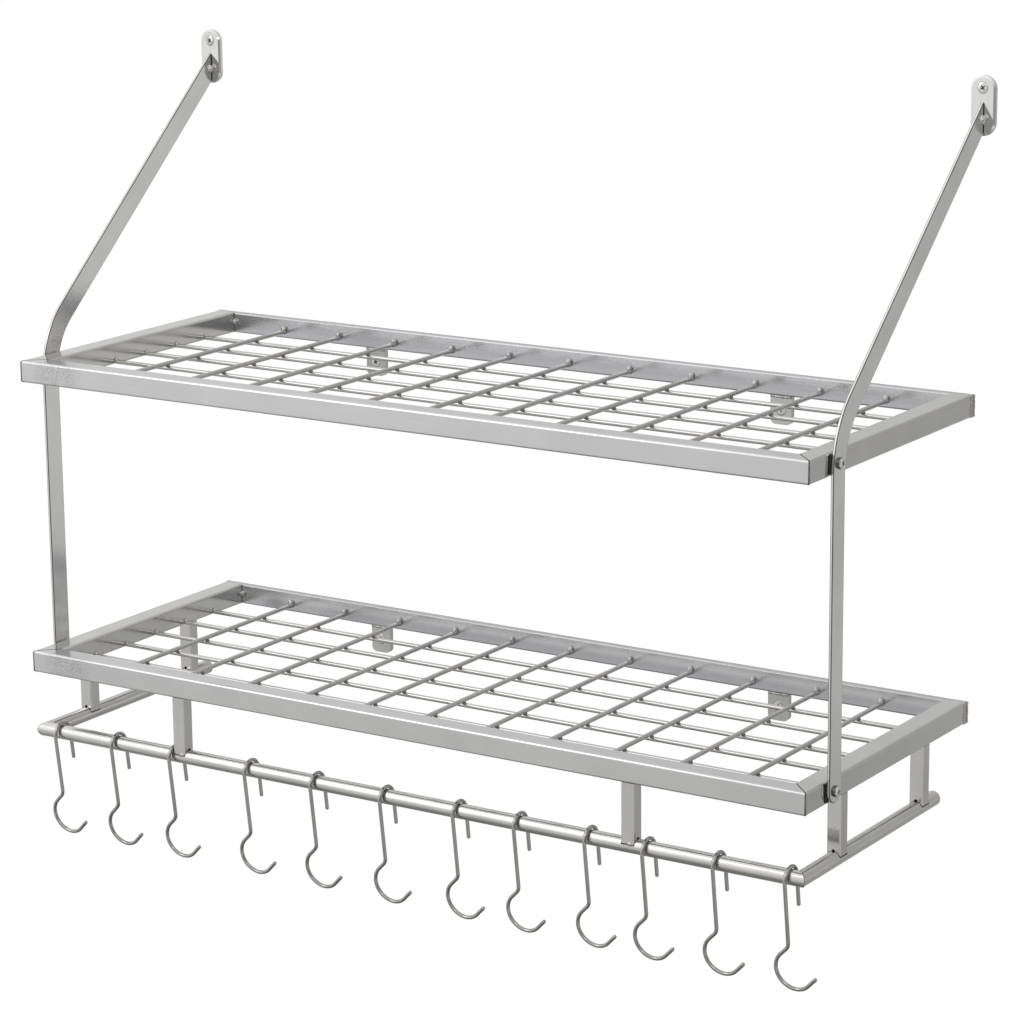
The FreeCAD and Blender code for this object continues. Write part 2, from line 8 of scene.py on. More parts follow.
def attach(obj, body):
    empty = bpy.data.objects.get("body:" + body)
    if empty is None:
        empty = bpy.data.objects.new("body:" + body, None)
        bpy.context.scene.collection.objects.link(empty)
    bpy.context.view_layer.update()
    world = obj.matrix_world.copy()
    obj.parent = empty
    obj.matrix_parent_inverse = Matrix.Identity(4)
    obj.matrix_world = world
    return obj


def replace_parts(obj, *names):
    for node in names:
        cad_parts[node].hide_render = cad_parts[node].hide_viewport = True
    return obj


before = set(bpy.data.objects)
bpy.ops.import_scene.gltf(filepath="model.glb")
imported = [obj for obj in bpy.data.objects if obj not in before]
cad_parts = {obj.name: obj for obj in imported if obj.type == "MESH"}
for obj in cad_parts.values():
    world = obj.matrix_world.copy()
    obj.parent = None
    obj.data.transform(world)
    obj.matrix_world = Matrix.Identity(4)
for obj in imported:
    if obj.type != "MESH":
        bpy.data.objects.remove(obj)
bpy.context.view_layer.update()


# Studio: the camera stands where the photograph was taken from, in a white surround that is a little
# darker on the right and low down. Two soft boxes hang to the left and one in front on the right, and
# a pale floor lies well below the rack.
scene = bpy.context.scene
scene.view_settings.view_transform = "Standard"
bpy.ops.object.camera_add(
    location=(1.55410, -2.49996, 0.86059),
    rotation=[math.radians(angle) for angle in (76.323, 0.543, 32.803)])
camera = bpy.context.object
camera.name = "photo_camera"
camera.data.sensor_width = 36
camera.data.lens = 121.814
camera.data.clip_end = 100
scene.camera = camera


def linear(hex_colour):
    """An sRGB hex colour as linear numbers."""
    levels = [int(hex_colour[start:start + 2], 16) / 255 for start in (1, 3, 5)]
    return [level / 12.92 if level <= 0.04045 else ((level + 0.055) / 1.055) ** 2.4
            for level in levels] + [1]


def add_node(tree, kind, inputs, **settings):
    """A node with its settings. An input is a value, or the socket that feeds it."""
    made = tree.nodes.new(kind)
    for name, value in settings.items():
        setattr(made, name, value)
    for socket, value in inputs.items():
        if isinstance(value, bpy.types.NodeSocket):
            tree.links.new(value, made.inputs[socket])
        else:
            made.inputs[socket].default_value = value
    return made


def plus(tree, first, second, operation="ADD"):
    """The sum of two numbers, or another sign between them."""
    return add_node(tree, "ShaderNodeMath", {0: first, 1: second}, operation=operation).outputs[0]


def measure(tree, operation, *vectors):
    """A number taken from one vector or from two."""
    made = add_node(tree, "ShaderNodeVectorMath", dict(enumerate(vectors)), operation=operation)
    return made.outputs["Value"]


def ramp(tree, value, start, stop, low, high, **settings):
    """A number that goes from low to high while the value goes from start to stop."""
    span = {0: value, 1: start, 2: stop, 3: low, 4: high}
    return add_node(tree, "ShaderNodeMapRange", span, **settings).outputs[0]


def eased(tree, value, start, stop, low, high):
    """The same, with a soft start and a soft stop."""
    return ramp(tree, value, start, stop, low, high, interpolation_type="SMOOTHSTEP")


def between(tree, share, first, second):
    """A number between two, by a share from 0 to 1."""
    return add_node(tree, "ShaderNodeMix", {0: share, 2: first, 3: second}).outputs[0]


surround = bpy.data.worlds.new("white_surround")
scene.world = surround
surround.use_nodes = True
tree = surround.node_tree
tree.nodes.clear()
heading = add_node(tree, "ShaderNodeTexCoord", {}).outputs["Generated"]
lean = measure(tree, "DOT_PRODUCT", heading, (-0.38, -0.08, 0.46))
tone = plus(tree, lean, 0.62)
# soft patches of the surround: the way to the middle, the cosine at the rim, and what it adds
for towards, rim, gain in (((0.86, 0.48, -0.15), 0.82, 0.45),
                           ((-0.10, 0.93, 0.35), 0.62, -0.3),
                           ((0.585, -0.80, -0.10), 0.9, -0.45),
                           ((0.83, -0.53, -0.20), 0.85, -0.35)):
    facing = measure(tree, "DOT_PRODUCT", heading, towards)
    tone = plus(tree, tone, eased(tree, facing, rim, 1.0, 0.0, gain))
tone = plus(tree, tone, 0.05, "MAXIMUM")
ray = add_node(tree, "ShaderNodeLightPath", {})
straight = plus(tree, ray.outputs["Is Camera Ray"], ray.outputs["Is Transmission Ray"], "MAXIMUM")
mirrored = plus(tree, ray.outputs["Is Glossy Ray"], 0.3, "MULTIPLY")
seen = plus(tree, straight, mirrored, "MAXIMUM")
backdrop = add_node(tree, "ShaderNodeBackground",
                    {"Color": linear("#FFFFFF"), "Strength": between(tree, seen, tone, 1.0)})
add_node(tree, "ShaderNodeOutputWorld", {"Surface": backdrop.outputs[0]})

RACK_MIDDLE = Vector((0, -0.14, 0.15))
for name, place, width, power in (("high_left_box", (-1.30, -1.75, 1.55), 1.1, 5.6),
                                  ("low_left_box", (-1.55, -2.45, 0.75), 1.0, 2.3),
                                  ("front_box", (1.6, -2.2, 1.9), 0.9, 5.0)):
    bpy.ops.object.light_add(type="AREA", location=place)
    box = bpy.context.object
    box.name = name
    box.data.size = width
    box.data.energy = power
    box.rotation_euler = (RACK_MIDDLE - Vector(place)).to_track_quat("-Z", "Y").to_euler()


def bare(name):
    """A material with nothing in it yet."""
    finish = bpy.data.materials.new(name)
    finish.use_nodes = True
    finish.node_tree.nodes.clear()
    return finish


def blend(tree, share, first, second):
    """A colour between two, by a share from 0 to 1."""
    return add_node(tree, "ShaderNodeMix", {0: share, 6: first, 7: second}, data_type="RGBA").outputs[2]


bpy.ops.mesh.primitive_circle_add(vertices=96, radius=5, fill_type="NGON", location=(0, -0.2, -1.25))
floor = bpy.context.object
floor.name = "pale_floor"
# matt pale paint with painted shade: grey under the rack and a little to the right behind it, paler
# towards the rim, where it meets the white surround
pale = bare("pale_paint")
tree = pale.node_tree
place = add_node(tree, "ShaderNodeTexCoord", {}).outputs["Object"]
reach = measure(tree, "LENGTH", place)
under = eased(tree, reach, 0.7, 2.8, 0.0, 1.0)
behind = measure(tree, "DISTANCE", place, (1.7, 2.8, 0.0))
shade = eased(tree, behind, 0.6, 2.4, 0.45, 1.0)
fade = plus(tree, under, shade, "MULTIPLY")
colour = blend(tree, fade, linear("#8E8E8C"), linear("#E1E1DF"))
paint = add_node(tree, "ShaderNodeBsdfDiffuse", {"Color": colour})
white = add_node(tree, "ShaderNodeEmission", {"Color": linear("#FFFFFF")})
veil = ramp(tree, reach, 0.8, 3.6, 0.95, 1.0)
ray = add_node(tree, "ShaderNodeLightPath", {})
share = plus(tree, ray.outputs["Is Camera Ray"], veil, "MULTIPLY")
both = add_node(tree, "ShaderNodeMixShader", {0: share, 1: paint.outputs[0], 2: white.outputs[0]})
add_node(tree, "ShaderNodeOutputMaterial", {"Surface": both.outputs[0]})
floor.data.materials.append(pale)


# Shelf rails: square tubes of stainless steel, ground along their length with a fine belt and then
# brushed to a satin. The front and side rails are mitred at the front corners; the rear rail is flatter.
MM = 0.001
SHELVES = ("upper", "lower")
SIDES = ("left", "right")
RAIL = 19 * MM
HALF = 381 * MM
FRONT = -284 * MM
REAR = -8 * MM
TOPS = {"upper": 289.5 * MM, "lower": 31.5 * MM}


def surface(tree, colour, rough, marks, strength, depth, metallic=1.0):
    """The end of a finish: its colour and sheen, with marks pressed into it."""
    dents = add_node(tree, "ShaderNodeBump", {"Height": marks, "Strength": strength, "Distance": depth})
    skin = add_node(tree, "ShaderNodeBsdfPrincipled",
                    {"Base Color": colour, "Metallic": metallic, "Roughness": rough,
                     "Normal": dents.outputs[0]})
    add_node(tree, "ShaderNodeOutputMaterial", {"Surface": skin.outputs[0]})


def noise(tree, place, across, detail):
    """Cloudy marks of a size across."""
    return add_node(tree, "ShaderNodeTexNoise",
                    {"Vector": place, "Scale": 1 / across, "Detail": detail}).outputs[0]


def steel(name, tones, stroke, shine, depth):
    """Stainless steel with fine marks: stroke is the length of a mark along x, y and z in mm."""
    finish = bare(name)
    tree = finish.node_tree
    place = add_node(tree, "ShaderNodeTexCoord", {}).outputs["Object"]
    spread = add_node(tree, "ShaderNodeMapping",
                      {"Vector": place, "Scale": [1 / (length * MM) for length in stroke]})
    marks = add_node(tree, "ShaderNodeTexNoise",
                     {"Vector": spread.outputs[0], "Scale": 1.0, "Detail": 3.0, "Roughness": 0.6})
    # clouds of handling marks
    clouds = noise(tree, place, 45 * MM, 2.0)
    worn = plus(tree, marks.outputs[0], clouds)
    level = ramp(tree, worn, 0.75, 1.25, 0.0, 1.0)
    colour = blend(tree, level, linear(tones[0]), linear(tones[1]))
    rough = ramp(tree, worn, 0.75, 1.25, shine - 0.02, shine + 0.04)
    surface(tree, colour, rough, marks.outputs[0], depth, 0.1 * MM)
    return finish


def give(finish, *names):
    """A finish for nodes of the rack."""
    for name in names:
        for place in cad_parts[name].material_slots:
            place.material = finish


def found(finish, kind):
    """The node of a kind in a finish."""
    return next(node for node in finish.node_tree.nodes if node.type == kind)


def tinted(finish, share, tone):
    """A share of another tone, laid over the colour that a finish has."""
    tree = finish.node_tree
    paint = found(finish, "BSDF_PRINCIPLED").inputs["Base Color"]
    tree.links.new(blend(tree, share, paint.links[0].from_socket, linear(tone)), paint)


def frosted(finish, middle, reach):
    """A patch across the rail where the belt has skipped, speckled with dull grains."""
    tree = finish.node_tree
    place = found(finish, "TEX_COORD").outputs["Object"]
    along = add_node(tree, "ShaderNodeSeparateXYZ", {0: place}).outputs["X"]
    off = plus(tree, plus(tree, along, -middle), 0.0, "ABSOLUTE")
    patch = eased(tree, off, 0.4 * reach, reach, 1.0, 0.0)
    grains = noise(tree, place, 0.9 * MM, 1.0)
    dull = ramp(tree, grains, 0.4, 0.62, 0.0, 0.6)
    tinted(finish, plus(tree, patch, dull, "MULTIPLY"), "#A0A0A4")
    return finish


def dulled_with_painted_shade(finish, height):
    """A tube with its top at a height: rougher on top, with painted shade darkening the top and greying
    it low down.
    """
    tree = finish.node_tree
    place = found(finish, "TEX_COORD").outputs["Object"]
    upwards = add_node(tree, "ShaderNodeSeparateXYZ", {0: place}).outputs["Z"]
    top = ramp(tree, upwards, height - 1.8 * MM, height - 1.2 * MM, 0.0, 1.0)
    low = ramp(tree, upwards, height - 7 * MM, height - 12 * MM, 0.0, 1.0)
    # painted shade: the top darkened to damp its highlight
    tinted(finish, top, "#B4B4B6")
    # painted shade: greyer low down on the face
    tinted(finish, low, "#C0C0C4")
    rough = found(finish, "BSDF_PRINCIPLED").inputs["Roughness"]
    tree.links.new(between(tree, top, rough.links[0].from_socket, 0.42), rough)
    return finish


# even silver-grey with a hair of brushing along the rail, soft edges to what it mirrors, and a speckled
# patch near the left end
front_satin = steel("satin_steel_front", ("#CBCBCC", "#D2D2D2"), (60, 0.4, 0.4), 0.17, 0.06)
give(frosted(front_satin, middle=-342 * MM, reach=32 * MM), "upper_front_rail", "lower_front_rail")
# a shade cooler, so that the wires show in it as pale streaks, with a dull top edge against the wall
# darkened by painted shade, and a lower half greyed by painted shade
for shelf in SHELVES:
    rear_satin = steel(f"satin_steel_rear_{shelf}", ("#D8D8DC", "#E2E2E5"), (60, 0.4, 0.4), 0.21, 0.03)
    give(dulled_with_painted_shade(rear_satin, TOPS[shelf]), f"{shelf}_rear_rail")
# the same satin, brushed from front to back and a touch warmer
give(steel("satin_steel_side", ("#C6C5C3", "#CFCECB"), (0.4, 60, 0.4), 0.13, 0.06),
     *[f"{shelf}_{side}_rail" for shelf in SHELVES for side in SIDES])
# duller and darker than the rails, as a sawn and filed end is
give(steel("filed_cap_steel", ("#A8A7A4", "#BAB9B6"), (0.6, 8, 0.6), 0.34, 0.1), "rear_rail_caps")


# Mitre seams: the weld between two rails where they meet at a front corner, a thin line drawn dark as
# painted shade of the joint. It is ground almost flush with their faces, and left a little round down
# the corner's upright edge.
SEAM = 0.9 * MM
SEAM_ROUND = 0.12 * MM
RAIL_ROUND = 2 * MM
PROUD = 0.1 * MM
EDGE_RADIUS = 0.75 * MM
EDGE_INSET = 0.35 * MM
EDGE_LENGTH = RAIL - 1.6 * MM
EDGE_ROUND = 0.3 * MM


def fitted(name):
    """The finished piece: named, with the finishes that it was made with, riding on the rack."""
    piece = bpy.context.object
    piece.name = name
    piece.data.name = name
    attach(piece, "rack")
    return piece


def solid(name, finish):
    """The finished piece, all in one finish."""
    materials = bpy.context.object.data.materials
    materials.clear()
    materials.append(finish)
    fitted(name)


def joined(pieces):
    """Several pieces made one; it is left active."""
    bpy.ops.object.select_all(action="DESELECT")
    for piece in pieces:
        piece.select_set(True)
    bpy.context.view_layer.objects.active = pieces[0]
    bpy.ops.object.join()
    return pieces[0]


def settled():
    """The place, turn and scale of the active piece go into its mesh."""
    bpy.ops.object.transform_apply(location=True, rotation=True, scale=True)
    return bpy.context.object


def rounded(width):
    """The active piece with its edges taken off."""
    bevel = bpy.context.object.modifiers.new("rounded", "BEVEL")
    bevel.width = width
    bevel.segments = 2
    bevel.harden_normals = True
    bpy.ops.object.modifier_apply(modifier="rounded")
    return bpy.context.object


# near-black, with no mirror image in it: a ground weld whose dark tone is painted shade of the joint
seam_shade_metal = steel("weld_seam_painted_shade", ("#2B2A29", "#423F3D"), (0.9, 0.9, 6), 0.5, 0.2)
# grey and rounded over, its grey a painted shade, so that the corner draws a dark upright line beside
# the bright face
corner_shade_metal = steel("corner_weld_painted_shade", ("#77767A", "#8D8C8E"), (0.5, 0.5, 8), 0.24, 0.1)
for shelf in SHELVES:
    seams = []
    edges = []
    for side in (-1, 1):
        bpy.ops.mesh.primitive_cube_add(size=1, scale=(RAIL + 2 * PROUD, SEAM, RAIL + 2 * PROUD))
        slab = settled()
        bpy.ops.object.mode_set(mode="EDIT")
        bpy.ops.mesh.select_mode(type="EDGE")
        mesh = bmesh.from_edit_mesh(slab.data)
        for edge in mesh.edges:
            edge.select_set(abs(edge.verts[0].co.y - edge.verts[1].co.y) > SEAM / 2)
        bmesh.update_edit_mesh(slab.data)
        bpy.ops.mesh.bevel(offset=RAIL_ROUND, segments=5)
        bpy.ops.object.mode_set(mode="OBJECT")
        slab.data.transform(
            Matrix.Translation((side * (HALF - RAIL / 2), FRONT + RAIL / 2, TOPS[shelf] - RAIL / 2))
            @ Matrix.Rotation(math.radians(-45 * side), 4, "Z")
            @ Matrix.Scale(math.sqrt(2), 4, (1, 0, 0)))
        seams.append(rounded(SEAM_ROUND))
        bpy.ops.mesh.primitive_cylinder_add(
            vertices=20, radius=EDGE_RADIUS, depth=EDGE_LENGTH,
            location=(side * (HALF - EDGE_INSET), FRONT + EDGE_INSET, TOPS[shelf] - RAIL / 2))
        settled()
        edges.append(rounded(EDGE_ROUND))
        bpy.ops.object.shade_smooth()
    joined(seams)
    solid(f"{shelf}_mitre_seams", seam_shade_metal)
    joined(edges)
    solid(f"{shelf}_corner_edges", corner_shade_metal)


# Shelf wires: drawn stainless rod, eleven from front to back on five from side to side, welded at
# every crossing. Drawing leaves them smooth, with faint die marks along the rod.
CROSS_X = [(-305 + 61 * step) * MM for step in range(11)]
LONG_Y = [(-265 + 257 / 6 * step) * MM for step in range(1, 6)]
CROSS_DROP = 12.9 * MM
LONG_DROP = 16.85 * MM
# bright along the top of the rod and dark under it, as a smooth round bar is
give(steel("drawn_wire_cross", ("#B7B6B4", "#C4C3C1"), (0.5, 40, 0.5), 0.15, 0.015),
     "upper_cross_wires", "lower_cross_wires")
# the same rod, with its marks along the shelf
give(steel("drawn_wire_long", ("#B7B6B4", "#C4C3C1"), (40, 0.5, 0.5), 0.15, 0.015),
     "upper_long_wires", "lower_long_wires")


# Wire welds: a bud of filler at each end of a wire, and a small knot where two wires cross.
# They are left as they cooled, dull and lumpy.
FRONT_BUD = (4.2 * MM, 3.4 * MM, 4.4 * MM)
REAR_BUD = (5.2 * MM, 4.6 * MM, 7.4 * MM)
SIDE_BUD = (3.8 * MM, 4.2 * MM, 5.2 * MM)
KNOT = (3.5 * MM, 3.4 * MM, 3.0 * MM)


def weld_metal(name, tones):
    """Weld metal as it cooled, in tones from its hollows to its crests."""
    finish = bare(name)
    tree = finish.node_tree
    place = add_node(tree, "ShaderNodeTexCoord", {}).outputs["Object"]
    # ripples of the pool
    ripple = noise(tree, place, 1.2 * MM, 3.0)
    colour = blend(tree, ripple, linear(tones[0]), linear(tones[1]))
    rough = ramp(tree, ripple, 0.3, 0.7, 0.2, 0.4)
    surface(tree, colour, rough, ripple, 0.4, 0.4 * MM)
    return finish


def lumpy(strength, grain):
    """An uneven skin on the active piece, as a weld has."""
    piece = bpy.context.object
    skin = piece.modifiers.new("lumps", "DISPLACE")
    skin.texture = bpy.data.textures.new("pool_lumps", "CLOUDS")
    skin.texture.noise_scale = grain
    skin.strength = strength
    bpy.ops.object.modifier_apply(modifier="lumps")
    bpy.ops.object.shade_smooth()
    return piece


def bud(size, segments, rings):
    """A bud of weld metal about the origin; size is its reach along x, y and z."""
    bpy.ops.mesh.primitive_uv_sphere_add(segments=segments, ring_count=rings, radius=0.5)
    bpy.ops.transform.resize(value=size)
    settled()
    return lumpy(0.28 * min(size), 0.6 * min(size))


def repeated(piece, places):
    """A copy of a piece at each place, joined; each place is a matrix."""
    copies = []
    for place in places:
        copy = piece.copy()
        copy.data = piece.data.copy()
        copy.data.transform(place)
        scene.collection.objects.link(copy)
        copies.append(copy)
    bpy.data.objects.remove(piece)
    return joined(copies)


def turned(spot, number):
    """A place for a bud, turned further for each one so that no two look alike."""
    return Matrix.Translation(spot) @ Matrix.Rotation(1.9 * number, 4, "Z")


def scattered(piece, spots):
    """A copy of a piece at each spot, each turned its own way, joined."""
    return repeated(piece, [turned(Vector(spot), number) for number, spot in enumerate(spots)])


# bright and dark lumps side by side
bud_metal = weld_metal("cooled_weld", ("#8C8A87", "#E2E0DC"))
# darker: the knots lie in the shade of the upper wires
knot_metal = weld_metal("shaded_weld", ("#565452", "#9A9894"))
for shelf in SHELVES:
    cross_z = TOPS[shelf] - CROSS_DROP
    long_z = TOPS[shelf] - LONG_DROP
    # each bud lies against its rail, a little above the wire
    front_ends = [(x, FRONT + RAIL + 0.6 * MM, cross_z + 0.6 * MM) for x in CROSS_X]
    rear_ends = [(x + 0.3 * MM, REAR - 1.4 * MM, cross_z + 1.7 * MM) for x in CROSS_X]
    side_ends = [(side * (HALF - RAIL - 0.6 * MM), y, long_z + 1.2 * MM)
                 for y in LONG_Y for side in (-1, 1)]
    knots = [(x + 1.2 * MM, y, (cross_z + long_z) / 2) for x in CROSS_X for y in LONG_Y]
    joined([scattered(bud(FRONT_BUD, 10, 7), front_ends),
            scattered(bud(REAR_BUD, 12, 9), rear_ends),
            scattered(bud(SIDE_BUD, 10, 7), side_ends)])
    solid(f"{shelf}_end_welds", bud_metal)
    scattered(bud(KNOT, 8, 6), knots)
    solid(f"{shelf}_wire_knots", knot_metal)


# Corner welds: a bead up each rear corner, inside the frame and round its outer end, where the side rail
# butts against the rear rail. A round bud stands out in the middle of the inner one.
CORNER_BUD = (5.6 * MM, 5.6 * MM, 5.6 * MM)
BACK_BEAD_Y = -2.5 * MM
BEAD_STEP = 0.6 * MM


def bead(length, radius):
    """A bead of weld metal along z about the origin."""
    bpy.ops.mesh.primitive_cylinder_add(vertices=14, radius=radius, depth=length, end_fill_type="TRIFAN")
    bpy.ops.object.mode_set(mode="EDIT")
    bpy.ops.mesh.select_mode(type="EDGE")
    bpy.ops.mesh.select_all(action="DESELECT")
    mesh = bmesh.from_edit_mesh(bpy.context.object.data)
    for edge in mesh.edges:
        ends = [corner.co.z for corner in edge.verts]
        edge.select_set(abs(ends[0] - ends[1]) > length / 2)
    bmesh.update_edit_mesh(bpy.context.object.data)
    bpy.ops.mesh.subdivide(number_cuts=int(length / BEAD_STEP))
    bpy.ops.object.mode_set(mode="OBJECT")
    return lumpy(1.1 * radius, 1.3 * radius)


# darker than the buds, on the inner corners
rim_metal = weld_metal("darker_corner_weld", ("#5A5856", "#9C9A96"))
for shelf in SHELVES:
    middle = TOPS[shelf] - RAIL / 2
    inner = [Vector((side * (HALF - RAIL), REAR, middle)) for side in (-1, 1)]
    outer = [Vector((side * HALF, y, middle)) for side in (-1, 1) for y in (REAR, BACK_BEAD_Y)]
    buds = [corner + Vector((-math.copysign(1.4 * MM, corner.x), -1.4 * MM, 0.8 * MM))
            for corner in inner]
    scattered(bead(17 * MM, 0.7 * MM), inner)
    solid(f"{shelf}_corner_beads", rim_metal)
    joined([scattered(bud(CORNER_BUD, 14, 10), buds),
            scattered(bead(18 * MM, 0.85 * MM), outer)])
    solid(f"{shelf}_corner_buds", bud_metal)


# Wall tabs: plates of stainless steel welded under the rear rails, linished upright, with a rough bead
# along the top. A countersunk hole takes a wall screw.
TAB_X = 206 * MM
TAB_FACE = -5 * MM
TAB_HOLE_DROP = 31.5 * MM
QUARTER = math.radians(90)
# pale upright streaks on grey, coarser than the rails' brushing
give(steel("linished_tab", ("#B4B4B3", "#C8C7C5"), (0.6, 0.6, 12), 0.2, 0.08),
     *[f"{shelf}_{side}_tab" for shelf in SHELVES for side in SIDES])
lengthwise = Matrix.Rotation(QUARTER, 4, "Y")
repeated(bead(18.5 * MM, 1.3 * MM),
         [Matrix.Translation((side * TAB_X, TAB_FACE - 0.5 * MM, TOPS[shelf] - RAIL - 0.9 * MM))
          @ lengthwise for shelf in SHELVES for side in (-1, 1)])
solid("tab_welds", bud_metal)


# Wall screws: countersunk stainless screws with a cross recess, through the tabs and the wall plates.
# The heads are turned bright, and the recess is painted dark as shade.
PLATE_X = 383.45 * MM
PLATE_FACE = -4.5 * MM
PLATE_HOLE = 536.365 * MM
SCREW_NECK = 2.6 * MM
SCREW_HEAD = 4.55 * MM
SCREW_SINK = 2 * MM
SCREW_SHANK = 2.4 * MM


def select_faces(test):
    """In edit mode, the faces of the active piece that pass a test."""
    mesh = bmesh.from_edit_mesh(bpy.context.object.data)
    for face in mesh.faces:
        face.select_set(test(face))
    mesh.select_flush(False)
    bmesh.update_edit_mesh(bpy.context.object.data)


def cross_punch(reach, blade, depth):
    """The shape of a driver's tip, its top a little above z = 0, tapered downwards."""
    bpy.ops.mesh.primitive_cube_add(
        size=1, location=(0, 0, 0.5 * MM - depth / 2), scale=(blade, blade, depth + 1 * MM))
    punch = settled()
    bpy.ops.object.mode_set(mode="EDIT")
    bpy.ops.mesh.select_mode(type="FACE")
    select_faces(lambda face: abs(face.normal.z) < 0.5)
    bpy.ops.mesh.extrude_faces_move(TRANSFORM_OT_shrink_fatten={"value": reach - blade / 2})
    select_faces(lambda face: face.normal.z < -0.5)
    bpy.ops.transform.resize(value=(0.45, 0.45, 1), center_override=(0, 0, -depth))
    bpy.ops.mesh.select_all(action="SELECT")
    bpy.ops.mesh.remove_doubles(threshold=0.001 * MM)
    bpy.ops.mesh.normals_make_consistent(inside=False)
    bpy.ops.object.mode_set(mode="OBJECT")
    punch.data.materials.append(recess_shade)
    return punch


def punched(head, finish, punch):
    """The recess is cut, dark inside with painted shade, and the punch goes."""
    head.data.materials.append(finish)
    head.data.materials.append(recess_shade)
    recess = head.modifiers.new("recess", "BOOLEAN")
    recess.operation = "DIFFERENCE"
    recess.solver = "EXACT"
    recess.use_self = True
    recess.material_mode = "TRANSFER"
    recess.object = punch
    bpy.ops.object.select_all(action="DESELECT")
    head.select_set(True)
    bpy.context.view_layer.objects.active = head
    bpy.ops.object.modifier_apply(modifier="recess")
    bpy.data.objects.remove(punch)
    bpy.ops.object.shade_smooth_by_angle(angle=math.radians(32))
    return head


def stepped(steps):
    """The top face of the active piece, drawn up in steps of height and width."""
    bpy.ops.object.mode_set(mode="EDIT")
    bpy.ops.mesh.select_mode(type="FACE")
    mesh = bmesh.from_edit_mesh(bpy.context.object.data)
    top = max(corner.co.z for corner in mesh.verts)
    select_faces(lambda face: face.normal.z > 0.5 and face.calc_center_median().z > top - 0.01 * MM)
    for rise, width in steps:
        bpy.ops.mesh.extrude_region_move(TRANSFORM_OT_translate={"value": (0, 0, rise)})
        bpy.ops.transform.resize(value=(width, width, 1))
    bpy.ops.object.mode_set(mode="OBJECT")


# bright turned steel
screw_steel = steel("turned_screw_steel", ("#C4C3C1", "#DEDDDA"), (2, 2, 2), 0.14, 0.03)
# painted shade on the walls of a drive recess
recess_shade = steel("recess_painted_shade", ("#2A2928", "#3D3B39"), (1, 1, 1), 0.45, 0.1)
bpy.ops.mesh.primitive_cone_add(vertices=40, radius1=SCREW_NECK, radius2=SCREW_HEAD, depth=SCREW_SINK,
                                location=(0, 0, -SCREW_SINK / 2))
head = settled()
stepped([(0.2 * MM, 0.93), (0.16 * MM, 0.7)])
bpy.ops.object.mode_set(mode="EDIT")
select_faces(lambda face: face.normal.z < -0.9)
bpy.ops.mesh.extrude_region_move(TRANSFORM_OT_translate={"value": (0, 0, -SCREW_SHANK)})
bpy.ops.object.mode_set(mode="OBJECT")
head = punched(head, screw_steel, cross_punch(reach=2.5 * MM, blade=1.15 * MM, depth=1.7 * MM))
outwards = Matrix.Rotation(QUARTER, 4, "X")
spots = [(side * TAB_X, TAB_FACE, TOPS[shelf] - TAB_HOLE_DROP) for shelf in SHELVES for side in (-1, 1)]
spots += [(side * PLATE_X, PLATE_FACE, PLATE_HOLE) for side in (-1, 1)]
# each was driven until it held, so no two recesses point the same way
repeated(head, [Matrix.Translation(spot) @ outwards @ Matrix.Rotation(0.5 + 1.3 * number, 4, "Z")
                for number, spot in enumerate(spots)])
fitted("wall_screws")


# Straps: flat stainless bars that run up past both shelves and lean back to the wall, bent edgewise
# and satin ground along their length. Black pads keep them off the side rails.
STRAP_Y = -242.5 * MM
STRAP_INNER = 382.2 * MM
STRAP_OUTER = 384.7 * MM
STRAP_EASE = 0.65 * MM
STRAP_HOLE_REACH = 6 * MM
BEND_CORNER = 301.9 * MM
BEND_SPAN = (271 * MM, 322 * MM)
STRAP_TURN = math.radians(48.5)


def strap_steel(name, tones):
    """The grinding marks turn with the strap at its bend."""
    finish = steel(name, tones, (0.4, 0.4, 60), 0.16, 0.05)
    tree = finish.node_tree
    place = found(finish, "TEX_COORD").outputs["Object"]
    upright = found(finish, "MAPPING")
    marks = upright.outputs[0].links[0].to_node
    sloped = add_node(tree, "ShaderNodeVectorRotate",
                      {"Vector": place, "Center": (0, STRAP_Y, BEND_CORNER), "Angle": STRAP_TURN},
                      rotation_type="X_AXIS")
    spread = add_node(tree, "ShaderNodeMapping",
                      {"Vector": sloped.outputs[0], "Scale": upright.inputs["Scale"].default_value[:]})
    height = add_node(tree, "ShaderNodeSeparateXYZ", {0: place}).outputs["Z"]
    bend = ramp(tree, height, *BEND_SPAN, 0.0, 1.0)
    either = add_node(tree, "ShaderNodeMix", {0: bend, 4: upright.outputs[0], 5: spread.outputs[0]},
                      data_type="VECTOR")
    tree.links.new(either.outputs[1], marks.inputs["Vector"])
    return finish


